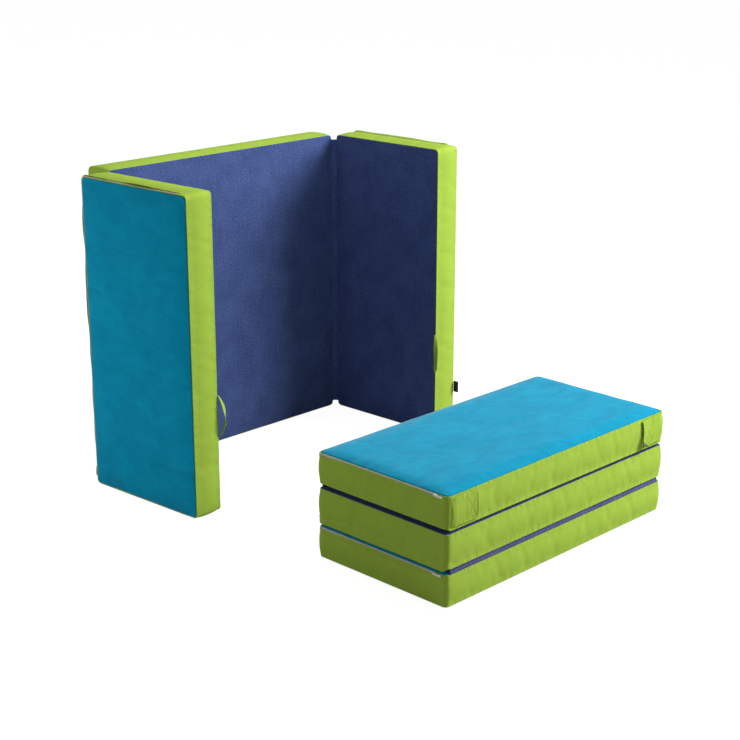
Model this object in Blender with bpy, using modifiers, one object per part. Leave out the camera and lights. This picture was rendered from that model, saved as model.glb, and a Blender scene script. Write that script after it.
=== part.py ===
"""A nursery mattress sofa in metres, +Z up: two loose folding mattresses, shown apart.

The surround is a back and two side sections standing on edge, joined by cloth hinges at the two
inner corners. The seat is three sections folded in a Z on top of one another. The origin is on the
floor, under the middle of the back section. X runs to the right, Y to the rear.

Each section is drawn in its own frame: u and v along its edges and w through its thickness, with
the plush face at +w and the woven face at -w. Its four edges are numbered counter-clockwise seen
from +w: 0 is the edge at -v, 1 at +u, 2 at +v and 3 at -u.
"""

import math
from dataclasses import dataclass

import bmesh
import bpy
from mathutils import Matrix, Vector

# Surround, seam to seam
BACK_WIDTH = 1.18
SIDE_DEPTH = 0.57
WALL_HEIGHT = 1.22
WALL_THICKNESS = 0.125
WALL_BULGE = 0.006
WALL_PLUSH_CROWN = 0.009
CORNER_GAP = 0.015  # from each inner corner to the seams on both sides of it
LEFT_TURN_DEG = 3.5  # how far each side is turned from square, counter-clockwise from above
RIGHT_TURN_DEG = 2.0

# Seat, seam to seam
SEAT_LENGTH = 1.20
SEAT_DEPTH = 0.60
SEAT_THICKNESS = 0.118
SEAT_BULGE = 0.0075
SEAT_BASE_CROWN = 0.0045  # the lowest woven face, pressed nearly flat by the load on it
WOVEN_FOLD_GAP = 0.016  # seam to seam, where two woven faces lie on each other
PLUSH_FOLD_GAP = 0.024  # seam to seam, where two plush faces lie on each other
SEAT_DISTANCE = 1.154  # from the back's inner seams to the seat's rear seams

# Covers
FABRIC = 0.002
CLEARANCE = 0.0003
FLOOR_CUT = 0.0005  # how deep the pieces that stand on the floor are pressed flat
CORNER_RADIUS = 0.012
CROWN_RUN = 0.10  # a face rises from its seam over this distance and is level inside it

# Cloth hinges
HINGE_CLOTH = 0.002
WALL_HINGE_INSET = 0.020  # from the ends of the seams
SEAT_HINGE_INSET = 0.018
SEAT_HINGE_SHIFT = 0.0005  # how far the strip's middle lies outside the seams

# Zips
ZIP_WIDTH = 0.008
ZIP_THICKNESS = 0.0012
ZIP_END = 0.030  # from a corner's rounding to the end of the tape
SLIDER_LENGTH = 0.014
SLIDER_WIDTH = 0.0075
SLIDER_HEIGHT = 0.0022
RAIL_HEIGHT = 0.0024
RAIL_WIDTH = 0.0011
PULL_LENGTH = 0.030
PULL_WIDTH = 0.0066
PULL_NECK = 0.0036
PULL_THICKNESS = 0.0012
PULL_CHAMFER = 0.0015
SIDE_SLIDER_PARK = 0.045  # from a corner's rounding to the slider's middle, on the side sections
BACK_SLIDER_PARK = 0.120

# Handles
LEFT_HANDLE_LOW = 0.297  # height of the lower sewn end above the floor
RIGHT_HANDLE_LOW = 0.280
HANDLE_LENGTH = 0.163
HANDLE_REACH = 0.028
HANDLE_WIDTH = 0.020
HANDLE_END_WIDTH = 0.005
HANDLE_THICKNESS = 0.0025

# Flaps of the top seat section, and their hook and loop patches
FLAP_LENGTH = 0.130
FLAP_HEIGHT = 0.104
FLAP_THICKNESS = 0.0020
PATCH_LENGTH = 0.060
PATCH_HEIGHT = 0.090
PATCH_MARGIN = 0.006  # from the flap's free edge to its hook patch
PATCH_THICKNESS = 0.0012

# Label tab
LABEL_LOW = 0.164  # height of its lower edge above the floor
LABEL_HEIGHT = 0.048
LABEL_REACH = 0.025
LABEL_THICKNESS = 0.001

CORNER_STEPS = 3  # straight pieces in a rounded corner
HANDLE_STEPS = 12
CROWN_INSET_SHARES = (0, 0.12, 0.35, 0.7, 1)  # of CROWN_RUN
FOAM_INSET_SHARES = (0, 0.35, 1)
CORNER_EASE_SHARE = 0.6  # of an inset, by which the corners of a crown's rings grow rounder
BORDER_LEVEL_SHARES = (-1, -0.7, -0.3, 0.3, 0.7, 1)  # of the border's half height
FOAM_LEVEL_SHARES = (-0.3, 0.3)
SMOOTH_ANGLE = math.radians(35)

OUTWARD = ((0, -1), (1, 0), (0, 1), (-1, 0))  # across each of the four edges, in u and v
ALONG = ((1, 0), (0, 1), (-1, 0), (0, -1))

TUCK = FABRIC + CLEARANCE  # from the cover's outer surface to the foam


@dataclass
class Section:
    """One foam section: its half sizes from seam to seam, its soft shape and its zip."""

    name: str
    half_u: float
    half_v: float
    half_t: float
    woven_crown: float
    plush_crown: float
    bulge: float
    plain_edge: int  # the edge without a zip
    slider_edge: int
    slider_end: int  # 1 or -1: which way along that edge the slider is parked
    slider_park: float

    def half_run(self, edge):
        return self.half_u if edge % 2 == 0 else self.half_v

    def half_reach(self, edge):
        return self.half_v if edge % 2 == 0 else self.half_u

    def bulge_at(self, level):
        """The border's swell: a parabola through both seams."""
        return self.bulge * (1 - (level / self.half_t) ** 2)

    def border_levels(self):
        return [share * (self.half_t - TUCK) for share in BORDER_LEVEL_SHARES]

    def levels_within(self, half):
        """The border's own levels as far as half a height from the middle, and that height's ends."""
        return [-half, *(level for level in self.border_levels() if abs(level) < half), half]

    def edge_point(self, edge, run, out):
        """A point in u and v beside an edge: run along it and out past its seam."""
        reach = self.half_reach(edge) + out
        return Vector([reach * n + run * d for n, d in zip(OUTWARD[edge], ALONG[edge])])

    def corner_arc(self, corner, out, radius):
        """A quarter circle round the corner between an edge and the next one."""
        after = (corner + 1) % 4
        centre = Vector(OUTWARD[corner]) * (self.half_reach(corner) + out - radius)
        centre += Vector(OUTWARD[after]) * (self.half_reach(after) + out - radius)
        start = math.radians(90 * (corner - 1))
        turns = [start + math.radians(90) * step / CORNER_STEPS for step in range(CORNER_STEPS + 1)]
        return [centre + radius * Vector((math.cos(turn), math.sin(turn))) for turn in turns]

    def outline(self, out, radius):
        return [point for corner in range(4) for point in self.corner_arc(corner, out, radius)]


def clear_scene():
    for obj in list(bpy.data.objects):
        bpy.data.objects.remove(obj, do_unlink=True)


def collection(name):
    made = bpy.data.collections.new(name)
    bpy.context.scene.collection.children.link(made)
    return made


clear_scene()
PARTS = collection("mattress_sofa")
CUTTERS = collection("cutters")


def material(name, colour, roughness, metallic=0.0):
    made = bpy.data.materials.new(name)
    made.use_nodes = True
    shader = made.node_tree.nodes["Principled BSDF"]
    shader.inputs["Base Color"].default_value = (*colour, 1)
    shader.inputs["Roughness"].default_value = roughness
    shader.inputs["Metallic"].default_value = metallic
    return made


TEAL_PLUSH = material("teal_plush", (0.0, 0.17, 0.33), 0.95)
NAVY_WEAVE = material("navy_weave", (0.045, 0.07, 0.19), 0.9)
LIME_CLOTH = material("lime_cloth", (0.36, 0.60, 0.05), 0.85)
SLATE_CLOTH = material("slate_hinge_cloth", (0.10, 0.10, 0.27), 0.9)
PALE_FOAM = material("pale_foam", (0.85, 0.82, 0.70), 1.0)
ZIP_CLOTH = material("zip_tape", (0.45, 0.44, 0.38), 0.8)
ZIP_METAL = material("zip_enamelled_metal", (0.80, 0.80, 0.78), 0.4, 0.3)
HOOK_NYLON = material("hook_nylon", (0.82, 0.82, 0.78), 0.7)
LABEL_CLOTH = material("black_label_cloth", (0.015, 0.015, 0.015), 0.6)


def new_part(name, bm, finish, parent):
    """Turns a bmesh into a named object that hangs on its parent."""
    mesh = bpy.data.meshes.new(name)
    bm.to_mesh(mesh)
    bm.free()
    mesh.materials.append(finish)
    mesh.shade_smooth()
    mesh.set_sharp_from_angle(angle=SMOOTH_ANGLE)
    obj = bpy.data.objects.new(name, mesh)
    PARTS.objects.link(obj)
    obj.parent = parent
    return obj


def new_axis(name, parent, location, rotation=(0, 0, 0)):
    """An empty that carries a section or marks a joint's axis."""
    empty = bpy.data.objects.new(name, None)
    PARTS.objects.link(empty)
    empty.parent = parent
    empty.location = location
    empty.rotation_euler = rotation
    return empty


def turned_to(x, z):
    """The rotation whose X and Z axes point along x and z."""
    x, z = Vector(x).normalized(), Vector(z).normalized()
    return Matrix((x, z.cross(x), z)).transposed().to_euler()


def ring(bm, points, level):
    return [bm.verts.new((*point, level)) for point in points]


def loft(bm, rings, cap_low, cap_high):
    """Joins closed rings from low to high, with outward faces, and caps the ends that are asked for."""
    for low, high in zip(rings, rings[1:]):
        for i, vertex in enumerate(low):
            after = (i + 1) % len(low)
            bm.faces.new((vertex, low[after], high[after], high[i]))
    if cap_low:
        bm.faces.new(reversed(rings[0]))
    if cap_high:
        bm.faces.new(rings[-1])


def crown_rings(bm, section, side, tuck, inset_shares):
    """Rings of a face from its seam to its level middle: the rise is a parabola over CROWN_RUN."""
    crown = section.plush_crown if side > 0 else section.woven_crown
    rings = []
    for share in inset_shares:
        inset = share * CROWN_RUN
        radius = CORNER_RADIUS - tuck + CORNER_EASE_SHARE * inset
        rise = crown * (1 - (1 - share) ** 2)
        outline = section.outline(-inset - tuck, radius)
        rings.append(ring(bm, outline, side * (section.half_t + rise - tuck)))
    return rings


def solidify(obj, thickness, offset):
    wall = obj.modifiers.new("thickness", "SOLIDIFY")
    wall.thickness = thickness
    wall.offset = offset
    wall.use_even_offset = True


def press_flat(obj, floor):
    cut = obj.modifiers.new("floor", "BOOLEAN")
    cut.operation = "DIFFERENCE"
    cut.object = floor


def foam_core(section, frame):
    """A block cut to fill its cover, crowned and swollen as the cover is."""
    bm = bmesh.new()
    woven = crown_rings(bm, section, -1, TUCK, FOAM_INSET_SHARES)
    plush = crown_rings(bm, section, 1, TUCK, FOAM_INSET_SHARES)
    sides = []
    for share in FOAM_LEVEL_SHARES:
        level = share * (section.half_t - TUCK)
        out = section.bulge_at(level) - TUCK
        sides.append(ring(bm, section.outline(out, CORNER_RADIUS + out), level))
    loft(bm, woven[::-1] + sides + plush, cap_low=True, cap_high=True)
    return new_part(section.name + "_foam_core", bm, PALE_FOAM, frame)


def face_sheet(section, frame, side, name, finish):
    """The cloth of one face, from seam to seam over the crown."""
    bm = bmesh.new()
    rings = crown_rings(bm, section, side, 0, CROWN_INSET_SHARES)
    loft(bm, rings[::side], cap_low=side < 0, cap_high=side > 0)
    obj = new_part(f"{section.name}_{name}_face", bm, finish, frame)
    solidify(obj, FABRIC, -1)
    return obj


def border(section, frame):
    """The gusset: one band of cloth round all four edges, swelling between its seams."""
    bm = bmesh.new()
    rings = []
    for level in section.border_levels():
        out = section.bulge_at(level)
        rings.append(ring(bm, section.outline(out, CORNER_RADIUS + out), level))
    loft(bm, rings, cap_low=False, cap_high=False)
    obj = new_part(section.name + "_border", bm, LIME_CLOTH, frame)
    solidify(obj, FABRIC, -1)
    return obj


def border_cloth(name, section, frame, path_at, levels, lift, thickness, finish):
    """A flat piece of cloth that lies on the border: path_at gives its run at a distance past the seam."""
    bm = bmesh.new()
    rows = [ring(bm, path_at(section.bulge_at(level) + lift), level) for level in levels]
    for low, high in zip(rows, rows[1:]):
        for i in range(len(low) - 1):
            bm.faces.new((low[i], low[i + 1], high[i + 1], high[i]))
    obj = new_part(name, bm, finish, frame)
    solidify(obj, thickness, 1)
    return obj


def zip_levels(section):
    high = section.half_t - FABRIC
    return high - ZIP_WIDTH, high


def zip_tape(section, frame):
    """The zip runs beside the plush seam round three edges, and stops short of the plain one."""
    first, middle, last = ((section.plain_edge + step) % 4 for step in (1, 2, 3))
    first_run = ZIP_END + CORNER_RADIUS - section.half_run(first)
    last_run = section.half_run(last) - CORNER_RADIUS - ZIP_END

    def path_at(out):
        radius = CORNER_RADIUS + out
        return [
            section.edge_point(first, first_run, out),
            *section.corner_arc(first, out, radius),
            *section.corner_arc(middle, out, radius),
            section.edge_point(last, last_run, out),
        ]

    return border_cloth(
        section.name + "_zip_tape", section, frame, path_at, zip_levels(section),
        CLEARANCE, ZIP_THICKNESS, ZIP_CLOTH,
    )


def prism(bm, outline, axis, length):
    """Extrudes a flat outline along an axis, centred on it."""
    half = Vector(axis) * length / 2
    face = bm.faces.new([bm.verts.new(Vector(point) - half) for point in outline])
    grown = bmesh.ops.extrude_face_region(bm, geom=[face])["geom"]
    moved = [item for item in grown if isinstance(item, bmesh.types.BMVert)]
    bmesh.ops.translate(bm, verts=moved, vec=half * 2)
    bmesh.ops.recalc_face_normals(bm, faces=bm.faces[:])


def zip_slider(section, frame):
    """The slider is a plate with two rails on it, and the pull turns between the rails."""
    edge, end = section.slider_edge, section.slider_end
    low, high = zip_levels(section)
    run = end * (section.half_run(edge) - CORNER_RADIUS - section.slider_park)
    out = section.bulge_at(low) + ZIP_THICKNESS + 2 * CLEARANCE
    half = SLIDER_WIDTH / 2
    inner = PULL_NECK / 2 + CLEARANCE
    outer = inner + RAIL_WIDTH
    top = SLIDER_HEIGHT + RAIL_HEIGHT
    right = [(half, 0), (half, SLIDER_HEIGHT), (outer, SLIDER_HEIGHT), (outer, top), (inner, top)]
    right.append((inner, SLIDER_HEIGHT))
    profile = right + [(-y, z) for y, z in reversed(right)]
    bm = bmesh.new()
    prism(bm, [(0, y, z) for y, z in profile], (1, 0, 0), SLIDER_LENGTH)
    obj = new_part(section.name + "_zip_slider", bm, ZIP_METAL, frame)
    obj.location = (*section.edge_point(edge, run, out), (low + high) / 2)
    obj.rotation_euler = turned_to((*(end * Vector(ALONG[edge])), 0), (*OUTWARD[edge], 0))
    return obj


def zip_pull(section, slider):
    """The pull lies along the zip: its neck turns between the rails and it widens past them."""
    neck, half = PULL_NECK / 2, PULL_WIDTH / 2
    past = SLIDER_LENGTH / 2 + CLEARANCE
    right = [(-neck, -neck), (past, -neck), (past + neck, -half)]
    right += [(PULL_LENGTH - PULL_CHAMFER, -half), (PULL_LENGTH, PULL_CHAMFER - half)]
    outline = right + [(x, -y) for x, y in reversed(right)]
    bm = bmesh.new()
    prism(bm, [(x, y, 0) for x, y in outline], (0, 0, 1), PULL_THICKNESS)
    obj = new_part(section.name + "_zip_pull", bm, ZIP_METAL, slider)
    # the neck's square end swings just clear of the slider's plate
    obj.location = (0, 0, SLIDER_HEIGHT + CLEARANCE + math.hypot(neck, PULL_THICKNESS / 2))
    return obj


def build_section(section, frame):
    """All the pieces of one section, and of them the border and the woven face."""
    foam_core(section, frame)
    band = border(section, frame)
    face_sheet(section, frame, 1, "plush", TEAL_PLUSH)
    woven = face_sheet(section, frame, -1, "woven", NAVY_WEAVE)
    zip_tape(section, frame)
    zip_pull(section, zip_slider(section, frame))
    return band, woven


def hinge_strip(name, axis, reach, run, length, middle):
    """A strip from the seam at its axis to the seam it reaches, sewn along both; run is their direction."""
    bm = bmesh.new()
    bmesh.ops.create_cube(bm, size=1)
    across = reach.length - 2 * CLEARANCE
    bmesh.ops.scale(bm, verts=bm.verts[:], vec=(across, HINGE_CLOTH, length))
    obj = new_part(name, bm, SLATE_CLOTH, axis)
    obj.location = reach / 2 + middle
    obj.rotation_euler = turned_to(reach, run)


def wall_section(name, width, plain_edge, slider_edge, slider_end, park):
    return Section(
        name, width / 2, WALL_HEIGHT / 2, WALL_THICKNESS / 2, (CORNER_GAP - CLEARANCE) / 2,
        WALL_PLUSH_CROWN, WALL_BULGE, plain_edge, slider_edge, slider_end, park,
    )


def seat_section(name, woven_crown, plain_edge, slider_edge, slider_end):
    return Section(
        name, SEAT_LENGTH / 2, SEAT_DEPTH / 2, SEAT_THICKNESS / 2, woven_crown,
        (PLUSH_FOLD_GAP - CLEARANCE) / 2, SEAT_BULGE, plain_edge, slider_edge, slider_end,
        ZIP_END + SLIDER_LENGTH / 2,
    )


def wall_centre_height():
    """A wall stands on the crest of its lower border, which the floor presses flat."""
    crest_level = max(FOAM_LEVEL_SHARES) * (WALL_THICKNESS / 2 - TUCK)
    crest = WALL_BULGE * (1 - (crest_level / (WALL_THICKNESS / 2)) ** 2)
    return WALL_HEIGHT / 2 + crest - FLOOR_CUT


def floor_cutter():
    """Everything below the floor, wide enough for the whole part."""
    width = BACK_WIDTH + 2 * (SIDE_DEPTH + SEAT_DISTANCE + SEAT_DEPTH)
    bpy.ops.mesh.primitive_cube_add(size=1)
    cutter = bpy.context.active_object
    cutter.name = "floor_cutter"
    cutter.data.transform(Matrix.Diagonal((width, width, WALL_THICKNESS, 1)))
    cutter.location = (0, 0, -WALL_THICKNESS / 2)
    cutter.hide_render = True
    cutter.display_type = "WIRE"
    for holder in list(cutter.users_collection):
        holder.objects.unlink(cutter)
    CUTTERS.objects.link(cutter)
    return cutter


def side_wall(name, side, turn_deg, handle_low, floor):
    """A side section. It turns about its own inner seam, and the hinge strip about the back's."""
    turn = math.radians(turn_deg)
    to_corner = Vector((side * CORNER_GAP, 0, 0))
    reach = to_corner + Matrix.Rotation(turn, 3, "Z") @ Vector((0, -CORNER_GAP, 0))
    back_seam = (side * BACK_WIDTH / 2, -WALL_THICKNESS / 2, 0)
    corner_axis = new_axis(name + "_corner_axis", None, back_seam)
    length = WALL_HEIGHT - 2 * WALL_HINGE_INSET
    middle = Vector((0, 0, wall_centre_height()))
    hinge_strip(name + "_corner_hinge", corner_axis, reach, (0, 0, 1), length, middle)

    axis = new_axis(name + "_axis", corner_axis, reach, (0, 0, turn))
    place = (side * WALL_THICKNESS / 2, -SIDE_DEPTH / 2, wall_centre_height())
    frame = new_axis(name + "_frame", axis, place, (math.radians(90), 0, side * math.radians(90)))
    # seen from the plush face the front edge is +u on the left section and -u on the right one
    front_edge, rear_edge = (1, 3) if side < 0 else (3, 1)
    section = wall_section(name, SIDE_DEPTH, front_edge, rear_edge, -side, SIDE_SLIDER_PARK)
    band, _ = build_section(section, frame)
    press_flat(band, floor)
    handle(name + "_handle", section, frame, -side, handle_low)
    return section, frame


def back_wall(floor):
    turn = (math.radians(90), 0, math.radians(180))
    frame = new_axis("back_frame", None, (0, 0, wall_centre_height()), turn)
    section = wall_section("back", BACK_WIDTH, 2, 1, -1, BACK_SLIDER_PARK)
    band, _ = build_section(section, frame)
    press_flat(band, floor)


def handle(name, section, frame, front, low_end):
    """A strap whose ends are sewn into the front inner seam; it stands out square to the corner."""
    out = Vector((front, 0, -1)).normalized()
    across = out.cross(Vector((0, 1, 0)))
    bm = bmesh.new()
    rows = []
    for step in range(HANDLE_STEPS + 1):
        share = step / HANDLE_STEPS
        arch = math.sin(math.pi * share)
        height = low_end + HANDLE_LENGTH * share - wall_centre_height()
        half = (HANDLE_END_WIDTH + (HANDLE_WIDTH - HANDLE_END_WIDTH) * arch) / 2
        reach = CLEARANCE + (HANDLE_REACH - HANDLE_THICKNESS) * arch
        rows.append([bm.verts.new((reach, height, half)), bm.verts.new((reach, height, -half))])
    for low, high in zip(rows, rows[1:]):
        bm.faces.new((low[0], low[1], high[1], high[0]))
    obj = new_part(name, bm, LIME_CLOTH, frame)
    solidify(obj, HANDLE_THICKNESS, 1)
    obj.location = (front * section.half_u, 0, -section.half_t)
    obj.rotation_euler = turned_to(out, across)


def label_tab(section, frame):
    """A folded woven tab held in the outer front seam of the right section, left blank."""
    level = section.half_t - LABEL_THICKNESS / 2
    start = section.half_u + section.bulge_at(level - LABEL_THICKNESS / 2) + CLEARANCE
    bm = bmesh.new()
    bmesh.ops.create_cube(bm, size=1)
    bmesh.ops.scale(bm, verts=bm.verts[:], vec=(LABEL_REACH, LABEL_HEIGHT, LABEL_THICKNESS))
    obj = new_part("label_tab", bm, LABEL_CLOTH, frame)
    middle = LABEL_LOW + LABEL_HEIGHT / 2 - wall_centre_height()
    obj.location = (-start - LABEL_REACH / 2, middle, level)


def flap(side, section, frame):
    """A flap sewn in beside a front corner of the top section; hook and loop hold its free end."""
    name = "left_flap" if side < 0 else "right_flap"
    loop_lift = CLEARANCE
    hook_lift = loop_lift + PATCH_THICKNESS + CLEARANCE
    flap_lift = hook_lift + PATCH_THICKNESS + CLEARANCE
    root = section.half_u - CORNER_RADIUS
    tip = root - FLAP_LENGTH
    patch_tip = tip + PATCH_MARGIN
    patch_root = patch_tip + PATCH_LENGTH

    def cloth(part, start, stop, height, lift, thickness, finish):
        runs = sorted((side * start, side * stop))
        return border_cloth(
            part, section, frame, lambda out: [section.edge_point(0, run, out) for run in runs],
            section.levels_within(height / 2), lift, thickness, finish,
        )

    sheet = cloth(name, root, tip, FLAP_HEIGHT, flap_lift, FLAP_THICKNESS, LIME_CLOTH)
    hook = cloth(
        name + "_hook_patch", patch_root, patch_tip, PATCH_HEIGHT, hook_lift, PATCH_THICKNESS,
        HOOK_NYLON,
    )
    cloth(
        name + "_loop_patch", patch_root, patch_tip, PATCH_HEIGHT, loop_lift, PATCH_THICKNESS,
        HOOK_NYLON,
    )
    # the flap and its hook patch turn about the line where the flap is sewn in
    seam = Vector((*section.edge_point(0, side * root, section.bulge + flap_lift), 0))
    for obj in (sheet, hook):
        obj.data.transform(Matrix.Translation(-seam))
        obj.location = seam


def build_surround(floor):
    back_wall(floor)
    side_wall("left", -1, LEFT_TURN_DEG, LEFT_HANDLE_LOW, floor)
    section, frame = side_wall("right", 1, RIGHT_TURN_DEG, RIGHT_HANDLE_LOW, floor)
    label_tab(section, frame)


def build_seat(floor):
    """Three sections folded in a Z; each rests on the crown of the one below."""
    woven_crown = (WOVEN_FOLD_GAP - CLEARANCE) / 2
    rear = -WALL_THICKNESS / 2 - SEAT_DISTANCE
    front = rear - SEAT_DEPTH
    half_t, half_depth = SEAT_THICKNESS / 2, SEAT_DEPTH / 2
    base = SEAT_BASE_CROWN - FLOOR_CUT
    length = SEAT_LENGTH - 2 * SEAT_HINGE_INSET

    bottom = seat_section("seat_bottom", SEAT_BASE_CROWN, 0, 3, 1)
    bottom_frame = new_axis("seat_bottom_frame", None, (0, front + half_depth, base + half_t))
    _, woven = build_section(bottom, bottom_frame)
    press_flat(woven, floor)

    front_axis = new_axis("seat_front_axis", None, (0, front, base + SEAT_THICKNESS))
    reach, outside = Vector((0, 0, PLUSH_FOLD_GAP)), Vector((0, -SEAT_HINGE_SHIFT, 0))
    hinge_strip("seat_front_hinge", front_axis, reach, (1, 0, 0), length, outside)
    middle_axis = new_axis("seat_middle_axis", front_axis, reach)
    middle = seat_section("seat_middle", woven_crown, 2, 1, -1)
    place, over = (0, half_depth, half_t), (math.radians(180), 0, 0)
    build_section(middle, new_axis("seat_middle_frame", middle_axis, place, over))

    rear_axis = new_axis("seat_rear_axis", middle_axis, (0, SEAT_DEPTH, SEAT_THICKNESS))
    reach = Vector((0, 0, WOVEN_FOLD_GAP))
    hinge_strip("seat_rear_hinge", rear_axis, reach, (1, 0, 0), length, -outside)
    top_axis = new_axis("seat_top_axis", rear_axis, reach)
    top = seat_section("seat_top", woven_crown, 0, 3, 1)
    top_frame = new_axis("seat_top_frame", top_axis, (0, -half_depth, half_t))
    build_section(top, top_frame)
    for side in (-1, 1):
        flap(side, top, top_frame)


FLOOR = floor_cutter()
build_surround(FLOOR)
build_seat(FLOOR)
bpy.context.view_layer.update()
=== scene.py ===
import math
from dataclasses import dataclass

import bpy
import numpy as np
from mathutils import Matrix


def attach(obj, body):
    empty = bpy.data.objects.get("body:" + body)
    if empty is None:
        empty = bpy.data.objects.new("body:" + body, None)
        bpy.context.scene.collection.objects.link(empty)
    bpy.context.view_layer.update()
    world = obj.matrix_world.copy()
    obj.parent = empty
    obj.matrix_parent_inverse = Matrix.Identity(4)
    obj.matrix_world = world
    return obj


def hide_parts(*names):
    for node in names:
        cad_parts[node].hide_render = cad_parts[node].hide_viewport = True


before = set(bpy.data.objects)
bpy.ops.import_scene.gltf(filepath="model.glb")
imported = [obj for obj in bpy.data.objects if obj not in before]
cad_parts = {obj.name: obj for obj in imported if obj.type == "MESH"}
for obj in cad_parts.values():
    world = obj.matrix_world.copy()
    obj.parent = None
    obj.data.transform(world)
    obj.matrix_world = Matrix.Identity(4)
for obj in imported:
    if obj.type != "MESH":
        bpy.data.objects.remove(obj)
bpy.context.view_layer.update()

# Foam slabs. Each of the six sections is a block of soft polyurethane foam, cut with a hot wire
# and dropped loose into its zipped cover. All the other pieces are laid out from its faces.

SEAM_RADIUS = 0.016  # how the corners of a cover are rounded, seen square to its face
CORNER_RUN = 0.10  # over this distance inward the corners' rounding grows, and then it fades
CORNER_RADIUS = 0.072  # the widest rounding
CORNER_TURN = math.radians(45)  # each side of a corner takes half of the bend


@dataclass
class Section:
    """One section: its middle, the directions of its width u, height v and plush face w, and its
    half sizes from seam to seam."""

    name: str
    body: str
    middle: np.ndarray
    u: np.ndarray
    v: np.ndarray
    w: np.ndarray
    half_u: float
    half_v: float
    half_t: float
    woven_crown: float
    plush_crown: float
    bulge: float
    crown_run: float  # a face rises from its seam over this distance
    plain_edge: int  # 0 is the edge at -v, 1 at +u, 2 at +v and 3 at -u; this one has no zip
    woven_lead: float = 0.0  # how far from its seam the woven face begins to rise
    plush_hang: float = 0.0  # how far the gusset hangs past each seam on the plain edge
    woven_hang: float = 0.0

    def place(self, points):
        """Carries points in u, v and w to the row frame, and lays what would sink on the floor."""
        placed = self.middle + points @ np.array([self.u, self.v, self.w])
        return np.concatenate([placed[..., :2], np.maximum(placed[..., 2:], 0)], axis=-1)


def wall_section(name, body, middle, facing_deg, width, plain_edge):
    """A section standing on edge, whose plush face looks along facing_deg."""
    facing = math.radians(facing_deg)
    w = np.array([math.cos(facing), math.sin(facing), 0.0])
    v = np.array([0.0, 0.0, 1.0])
    return Section(name, body, np.array(middle), np.cross(v, w), v, w, half_u=width / 2,
                   half_v=0.61, half_t=0.0625, woven_crown=0.00735, plush_crown=0.009, bulge=0.006,
                   crown_run=0.10, plain_edge=plain_edge)


def seat_section(name, height, up, woven_crown, plain_edge, **hangs):
    """A section lying flat, whose plush face looks up or down."""
    u, w = np.array([1.0, 0.0, 0.0]), np.array([0.0, 0.0, float(up)])
    return Section(name, name, np.array([0.0, -1.5165, height]), u, np.cross(w, u), w, half_u=0.60,
                   half_v=0.30, half_t=0.059, woven_crown=woven_crown, plush_crown=0.01185,
                   bulge=0.0075, crown_run=0.055, plain_edge=plain_edge, woven_lead=0.02, **hangs)


SECTIONS = [
    wall_section("back", "back_panel", (0.0, 0.0, 0.615), 90, 1.18, 2),
    wall_section("left", "left_side", (-0.649069, -0.365756, 0.615), 183.5, 0.57, 1),
    wall_section("right", "right_side", (0.677932, -0.360136, 0.615), 2, 0.57, 3),
    seat_section("seat_bottom", 0.063, 1, 0.0045, 0),
    seat_section("seat_middle", 0.205, -1, 0.00785, 2, plush_hang=0.0105),
    seat_section("seat_top", 0.339, 1, 0.00785, 0, woven_hang=0.0080),
]


def rounded(section, x, y):
    """Bends a rectangular grid onto rings inside the seam. A point keeps its inset from the nearer
    edge; near a corner its ring turns on an arc, 45 degrees to each side. Returns the new u and v,
    the inset and the ring's outward direction."""
    du, dv = section.half_u - np.abs(x), section.half_v - np.abs(y)
    inset = np.minimum(du, dv)
    along = np.maximum(du, dv) - inset
    radius = np.interp(inset, [0, CORNER_RUN, 2 * CORNER_RUN], [SEAM_RADIUS, CORNER_RADIUS, 0])
    share = np.clip(1 - along / np.maximum(radius, 1e-9), 0, 1)
    turn = CORNER_TURN * share
    near = inset + radius * (1 - np.cos(turn))
    far = np.where(share > 0, inset + radius * (1 - np.sin(turn)), inset + along)
    beside_u = du <= dv
    new_x = np.sign(x) * (section.half_u - np.where(beside_u, near, far))
    new_y = np.sign(y) * (section.half_v - np.where(beside_u, far, near))
    out_x = np.sign(x) * np.where(beside_u, np.cos(turn), np.sin(turn))
    out_y = np.sign(y) * np.where(beside_u, np.sin(turn), np.cos(turn))
    return new_x, new_y, inset, out_x, out_y


def quads_between(index):
    """Quads between the neighbouring rows and columns of an array of point numbers."""
    a, b, c, d = index[:-1, :-1], index[1:, :-1], index[1:, 1:], index[:-1, 1:]
    return np.stack([a, b, c, d], axis=-1).reshape(-1, 4)


def grid_quads(rows, columns, closed=False, first=0):
    """Quads of a grid numbered row by row; closed joins the last row to the first."""
    index = first + np.arange(rows * columns).reshape(rows, columns)
    return quads_between(np.concatenate([index, index[:1]]) if closed else index)


def new_object(name, data):
    """An object of the data, linked into the scene."""
    obj = bpy.data.objects.new(name, data)
    bpy.context.scene.collection.objects.link(obj)
    return obj


def new_piece(name, points, quads, material, flat=None, seam=None):
    """A mesh object at the origin from points in the row frame. flat is the cloth's own u and v in
    metres at each point, and seam its distance to the nearest seam."""
    mesh = bpy.data.meshes.new(name)
    faces = quads if isinstance(quads, list) else quads.tolist()
    mesh.from_pydata(points.reshape(-1, 3).tolist(), [], faces)
    mesh.materials.append(material)
    mesh.shade_smooth()
    if flat is not None:
        corners = np.empty(len(mesh.loops), dtype=np.int32)
        mesh.loops.foreach_get("vertex_index", corners)
        layer = mesh.uv_layers.new(name="cloth")
        layer.data.foreach_set("uv", flat.reshape(-1, 2)[corners].astype(np.float32).ravel())
    if seam is not None:
        distance = mesh.attributes.new("seam", "FLOAT", "POINT")
        distance.data.foreach_set("value", seam.ravel().astype(np.float32))
    return new_object(name, mesh)


def smooth(obj, levels=1):
    """Subdivides the surface live, alike in view and render."""
    made = obj.modifiers.new("smooth", "SUBSURF")
    made.levels = made.render_levels = levels
    return obj


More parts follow.
